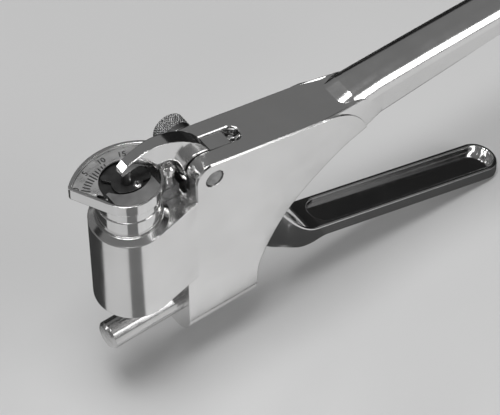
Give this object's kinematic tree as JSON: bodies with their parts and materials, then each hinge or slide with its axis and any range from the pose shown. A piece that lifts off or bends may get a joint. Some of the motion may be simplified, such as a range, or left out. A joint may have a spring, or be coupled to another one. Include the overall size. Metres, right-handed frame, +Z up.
{
  "type": "hand-held hardness tester",
  "caption": "Plier-type metal hardness tester: plated frame with barrel and anvil rod, arched presser arm, fan-shaped dial head, knurled pivot knob and squeeze grip.",
  "frame": {"origin": "where the vertical barrel axis meets the horizontal anvil rod axis", "axes": "+Z up along the barrel, +X from the barrel towards the grips, +Y towards the knurled thumb knob"},
  "size_m": [0.1932, 0.0294, 0.1112],
  "materials": {
    "plated_casting": "polished",
    "ground_steel": "ground",
    "chromed_steel": "polished",
    "blackened_steel": "satin",
    "black_enamel": "gloss",
    "scale_silver": "satin",
    "guard_steel": "satin",
    "spring_steel": "bright",
    "bearing_bronze": "plain",
    "hardened_steel": "ground"
  },
  "bodies": {
    "frame": {"frame_body": "plated_casting", "anvil_rod": "ground_steel", "anvil_set_screw": "blackened_steel", "spring_anchor_pin": "ground_steel", "lift_spring": "spring_steel", "return_spring": "spring_steel"},
    "pin": {"pivot_pin": "hardened_steel", "thumb_knob": "blackened_steel"},
    "lever": {"presser_arm": "chromed_steel", "lower_grip": "chromed_steel", "lever_bush": "bearing_bronze", "lever_rivets": "ground_steel"},
    "gauge": {"housing": "chromed_steel", "guide_key": "hardened_steel", "key_post": "chromed_steel", "dial_head": "chromed_steel", "dial_floor": "black_enamel", "scale_plate": "scale_silver", "pointer_guard": "guard_steel", "stop_pin": "ground_steel", "load_spring": "spring_steel", "load_bridge": "black_enamel", "spring_seat": "ground_steel"},
    "nut": {"load_nut": "blackened_steel"},
    "needle": {"indenter": "hardened_steel"},
    "hand": {"pointer": "black_enamel"},
    "lock": {"lock_screw": "chromed_steel"}
  },
  "joints": [
    {"name": "lever_squeeze", "type": "hinge", "parent": "frame", "child": "lever", "pos_m": [0.02595, 0, 0.0622], "axis": [0, -1, 0], "range_deg": [0, 12.5], "stiffness_Nm_per_rad": 0.8, "springref_deg": -5.73, "deforming": ["return_spring"]},
    {"name": "knob_turn", "type": "hinge", "parent": "frame", "child": "pin", "pos_m": [0.02595, 0, 0.0622], "axis": [0, 1, 0], "continuous": true},
    {"name": "housing_drop", "type": "slide", "parent": "frame", "child": "gauge", "axis": [0, 0, -1], "range_m": [0, 0.00572], "stiffness_N_per_m": 1200, "springref_m": -0.004, "deforming": ["lift_spring"]},
    {"name": "indenter_lift", "type": "slide", "parent": "gauge", "child": "needle", "axis": [0, 0, 1], "range_m": [0, 0.00055], "stiffness_N_per_m": 8000, "springref_m": -0.002, "deforming": ["load_spring"]},
    {"name": "pointer_turn", "type": "hinge", "parent": "gauge", "child": "hand", "pos_m": [-0.0023, -0.0063, 0.07], "axis": [0, 0, -1], "range_deg": [0, 89.5]},
    {"name": "nut_adjust", "type": "hinge", "parent": "gauge", "child": "nut", "pos_m": [0, 0, 0.07], "axis": [0, 0, 1], "range_deg": [-180, 180]},
    {"name": "lock_screw_turn", "type": "hinge", "parent": "gauge", "child": "lock", "pos_m": [0.00184, -0.00295, 0.07], "axis": [0, 0, 1], "range_deg": [-90, 90]}
  ],
  "couplings": [
    {"joint": "housing_drop", "follows": "lever_squeeze", "m_per_rad": 0.0262},
    {"joint": "pointer_turn", "follows": "indenter_lift", "rad_per_m": 2824.3}
  ]
}
